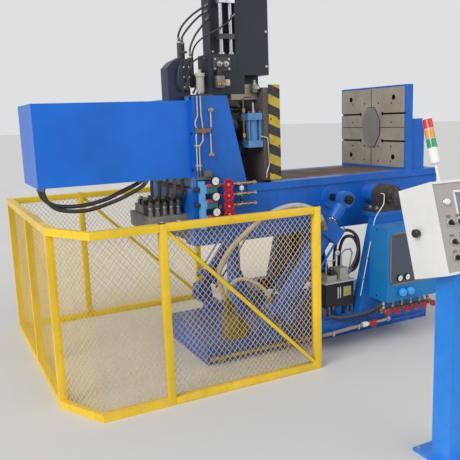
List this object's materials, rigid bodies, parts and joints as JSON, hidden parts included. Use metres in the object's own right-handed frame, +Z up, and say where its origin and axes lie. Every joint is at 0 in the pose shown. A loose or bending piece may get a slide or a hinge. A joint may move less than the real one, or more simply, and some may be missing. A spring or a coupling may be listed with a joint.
{
  "type": "tilting gravity die casting machine",
  "caption": "Tilting die casting machine: bed on two bearing stands with clamp cylinder, platens and tilt cylinders, guard fence, air cabinet and operator console.",
  "frame": {"origin": "on the floor under the middle of the tilt axis", "axes": "+X along the bed from the clamp cylinder towards the fixed platen, +Y from the operator's side to the rear, +Z up"},
  "size_m": [3.41, 3.659, 2.798],
  "materials": {
    "blue_paint": "gloss enamel",
    "sky_paint": "gloss enamel",
    "cover_paint": "satin enamel",
    "yellow_paint": "gloss enamel",
    "mesh_paint": "gloss enamel",
    "charcoal_paint": "satin enamel",
    "cast_housing": "as cast",
    "rusty_steel": "worn bare steel",
    "plate_steel": "machined",
    "bright_steel": "ground and polished",
    "dark_steel": "machined",
    "hazard_paint": "gloss enamel",
    "teal_paint": "satin enamel",
    "red_valves": "painted handles on brass",
    "ivory_paint": "satin enamel",
    "panel_grey": "satin enamel",
    "lamp_lenses": "translucent",
    "unit_black": "gloss enamel",
    "block_tan": "as cast",
    "tube_steel": "drawn"
  },
  "bodies": {
    "base": {"base_frame": "blue_paint", "base_outrigger": "blue_paint", "stand_front": "blue_paint", "stand_rear": "blue_paint", "bearing_front": "cast_housing", "bearing_rear": "cast_housing", "rest_post": "sky_paint", "cylinder_lugs": "blue_paint", "pump_block": "block_tan", "hydraulic_unit": "unit_black", "cabinet": "teal_paint", "cabinet_valves": "red_valves", "console_stand": "sky_paint", "console_box": "ivory_paint", "console_panel": "panel_grey", "signal_tower": "lamp_lenses", "fence_front_frame": "yellow_paint", "fence_corner_frame": "yellow_paint", "fence_left_frame": "yellow_paint", "fence_rear_frame": "yellow_paint", "fence_front_mesh": "mesh_paint", "fence_corner_mesh": "mesh_paint", "fence_left_mesh": "mesh_paint", "fence_rear_mesh": "mesh_paint"},
    "bed": {"bed_girder_front": "blue_paint", "bed_girder_rear": "blue_paint", "bed_deck": "rusty_steel", "bed_crossbeams": "blue_paint", "trunnions": "dark_steel", "cheek_front": "blue_paint", "cheek_rear": "blue_paint", "rear_platen": "sky_paint", "cylinder_cover": "cover_paint", "clamp_barrel": "dark_steel", "fixed_platen": "blue_paint", "fixed_face": "plate_steel", "hex_insert": "dark_steel", "platen_buttress": "blue_paint", "water_manifold": "teal_paint", "manifold_wheels": "red_valves", "lube_tubes": "tube_steel", "valve_cluster": "dark_steel", "head_valves": "dark_steel", "head_tank": "charcoal_paint"},
    "moving_platen_group": {"moving_platen": "rusty_steel", "moving_face": "plate_steel", "guide_rods": "bright_steel", "clamp_rod": "bright_steel", "hazard_guard": "hazard_paint", "side_cylinder": "sky_paint", "core_tower": "charcoal_paint", "core_base": "charcoal_paint", "core_arm": "plate_steel", "core_columns": "bright_steel"},
    "core_slide": {"core_carriage": "dark_steel"},
    "cabinet_door": {"cabinet_door": "teal_paint"},
    "front_tilt_barrel": {"tilt_barrel_front": "sky_paint"},
    "rear_tilt_barrel": {"tilt_barrel_rear": "sky_paint"},
    "front_tilt_rod": {"tilt_rod_front": "bright_steel"},
    "rear_tilt_rod": {"tilt_rod_rear": "bright_steel"}
  },
  "joints": [
    {"name": "bed_tilt", "type": "hinge", "parent": "base", "child": "bed", "pos_m": [0, 0, 1.18], "axis": [0, 1, 0], "range_deg": [0, 90]},
    {"name": "mould_clamp", "type": "slide", "parent": "bed", "child": "moving_platen_group", "axis": [1, 0, 0], "range_m": [0, 0.7]},
    {"name": "core_lift", "type": "slide", "parent": "moving_platen_group", "child": "core_slide", "axis": [0, 0, 1], "range_m": [0, 0.2]},
    {"name": "cabinet_hinge", "type": "hinge", "parent": "base", "child": "cabinet_door", "pos_m": [0.333, -0.9245, 0.6], "axis": [0, 0, 1], "range_deg": [0, 110]},
    {"name": "front_barrel_swing", "type": "hinge", "parent": "base", "child": "front_tilt_barrel", "pos_m": [-1.095, -0.62, 0.28], "axis": [0, 1, 0], "range_deg": [0, 2.36]},
    {"name": "front_rod_slide", "type": "slide", "parent": "front_tilt_barrel", "child": "front_tilt_rod", "axis": [0.615, 0, 0.7885], "range_m": [0, 0.5535]},
    {"name": "rear_barrel_swing", "type": "hinge", "parent": "base", "child": "rear_tilt_barrel", "pos_m": [-1.095, 0.62, 0.28], "axis": [0, 1, 0], "range_deg": [0, 2.36]},
    {"name": "rear_rod_slide", "type": "slide", "parent": "rear_tilt_barrel", "child": "rear_tilt_rod", "axis": [0.615, 0, 0.7885], "range_m": [0, 0.5535]}
  ],
  "couplings": [
    {"joint": "front_barrel_swing", "follows": "bed_tilt", "ratio": 0.02562},
    {"joint": "front_rod_slide", "follows": "bed_tilt", "m_per_rad": 0.35203},
    {"joint": "rear_barrel_swing", "follows": "bed_tilt", "ratio": 0.02562},
    {"joint": "rear_rod_slide", "follows": "bed_tilt", "m_per_rad": 0.35203}
  ]
}
